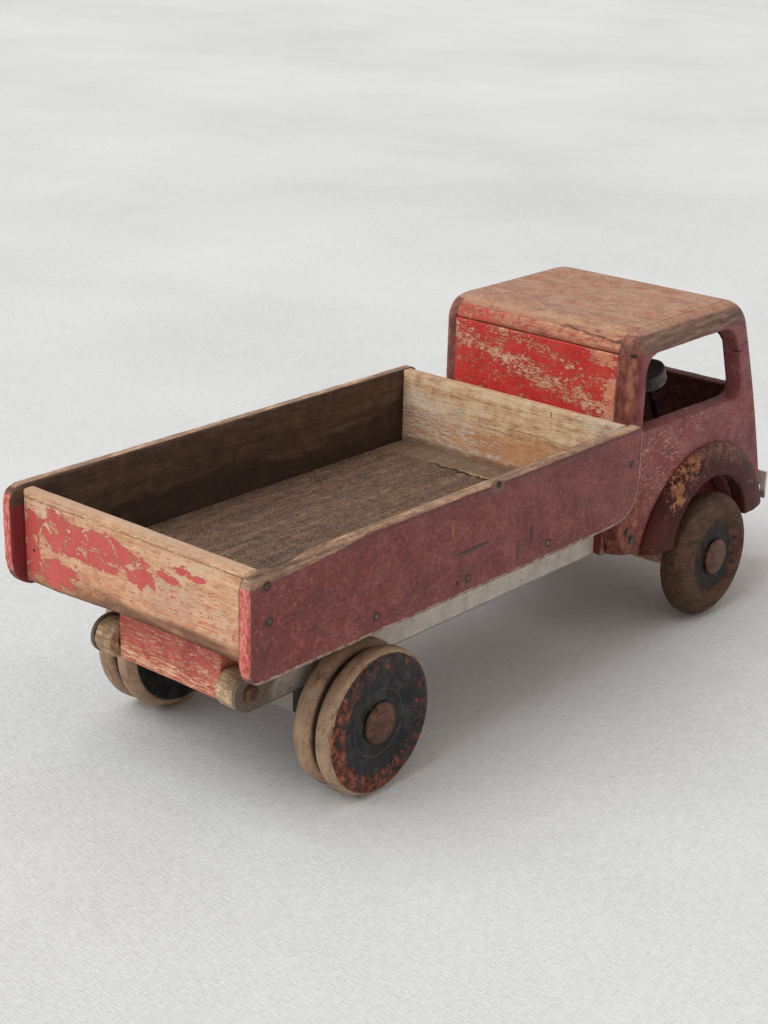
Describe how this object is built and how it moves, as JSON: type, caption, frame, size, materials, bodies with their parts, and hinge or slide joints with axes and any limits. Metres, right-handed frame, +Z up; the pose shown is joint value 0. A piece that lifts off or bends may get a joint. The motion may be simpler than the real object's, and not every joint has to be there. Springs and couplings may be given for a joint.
{
  "type": "push along truck",
  "caption": "Wooden push along tipper truck: open bed tipping on a rear pin hinge, rounded cab, fenders, turned wheels.",
  "frame": {"origin": "middle of the truck's box, on the surface it stands on", "axes": "+X forward towards the cab, +Y to the truck's left, +Z up"},
  "size_m": [0.57, 0.2026, 0.221],
  "materials": {
    "bed_side_paint": "worn dark red paint on wood, matt",
    "bed_board_wood": "bare and red-flaked board, matt",
    "bed_floor_wood": "grimy worn board, matt",
    "cab_paint": "worn red paint on wood, matt",
    "hinge_wood": "grimy turned wood, matt",
    "wheel_paint": "turned wood, black and brown worn paint",
    "galvanised": "dull galvanised sheet",
    "rusty_steel": "brown rusted steel",
    "grey_knob": "dull dark grey"
  },
  "bodies": {
    "chassis": {"cab_left_side": "cab_paint", "cab_right_side": "cab_paint", "cab_roof": "cab_paint", "cab_rear_panel": "cab_paint", "cab_front_panel": "cab_paint", "cab_floor": "cab_paint", "rear_cross_block": "cab_paint", "front_chassis_block": "cab_paint", "left_fender": "cab_paint", "right_fender": "cab_paint", "left_knuckle": "hinge_wood", "right_knuckle": "hinge_wood", "front_axle_beam": "hinge_wood", "left_rail": "galvanised", "right_rail": "galvanised", "rear_axle_hanger": "galvanised", "front_bumper": "galvanised", "left_axle_sleeve": "galvanised", "right_axle_sleeve": "galvanised", "hinge_pin": "rusty_steel", "rear_axle": "rusty_steel", "front_axle": "rusty_steel", "steering_column": "rusty_steel", "left_rear_hub_cap": "rusty_steel", "right_rear_hub_cap": "rusty_steel", "left_front_hub_cap": "rusty_steel", "right_front_hub_cap": "rusty_steel", "bumper_left_screw": "rusty_steel", "bumper_right_screw": "rusty_steel", "cab_left_lower_screw": "rusty_steel", "cab_left_upper_screw": "rusty_steel", "cab_right_lower_screw": "rusty_steel", "cab_right_upper_screw": "rusty_steel"},
    "bed": {"bed_left_side": "bed_side_paint", "bed_right_side": "bed_side_paint", "tailgate": "bed_board_wood", "bed_floor": "bed_floor_wood", "bed_front_board": "bed_board_wood", "bed_hinge_block": "bed_board_wood", "bed_cross_batten": "bed_side_paint"},
    "left_rear_wheel": {"left_rear_wheel": "wheel_paint"},
    "right_rear_wheel": {"right_rear_wheel": "wheel_paint"},
    "left_front_wheel": {"left_front_wheel": "wheel_paint"},
    "right_front_wheel": {"right_front_wheel": "wheel_paint"},
    "steering_wheel": {"steering_wheel": "grey_knob"}
  },
  "joints": [
    {"name": "bed_tip", "type": "hinge", "parent": "chassis", "child": "bed", "pos_m": [-0.244, 0, 0.0755], "axis": [0, -1, 0], "range_deg": [0, 60]},
    {"name": "left_rear_wheel_spin", "type": "hinge", "parent": "chassis", "child": "left_rear_wheel", "pos_m": [-0.175, 0.083, 0.045], "axis": [0, 1, 0], "continuous": true},
    {"name": "right_rear_wheel_spin", "type": "hinge", "parent": "chassis", "child": "right_rear_wheel", "pos_m": [-0.175, -0.083, 0.045], "axis": [0, 1, 0], "continuous": true},
    {"name": "left_front_wheel_spin", "type": "hinge", "parent": "chassis", "child": "left_front_wheel", "pos_m": [0.186, 0.088, 0.045], "axis": [0, 1, 0], "continuous": true},
    {"name": "right_front_wheel_spin", "type": "hinge", "parent": "chassis", "child": "right_front_wheel", "pos_m": [0.186, -0.088, 0.045], "axis": [0, 1, 0], "continuous": true},
    {"name": "steering_wheel_spin", "type": "hinge", "parent": "chassis", "child": "steering_wheel", "pos_m": [0.1785, -0.034, 0.171], "axis": [-0.4259, 0, 0.9048], "continuous": true}
  ]
}
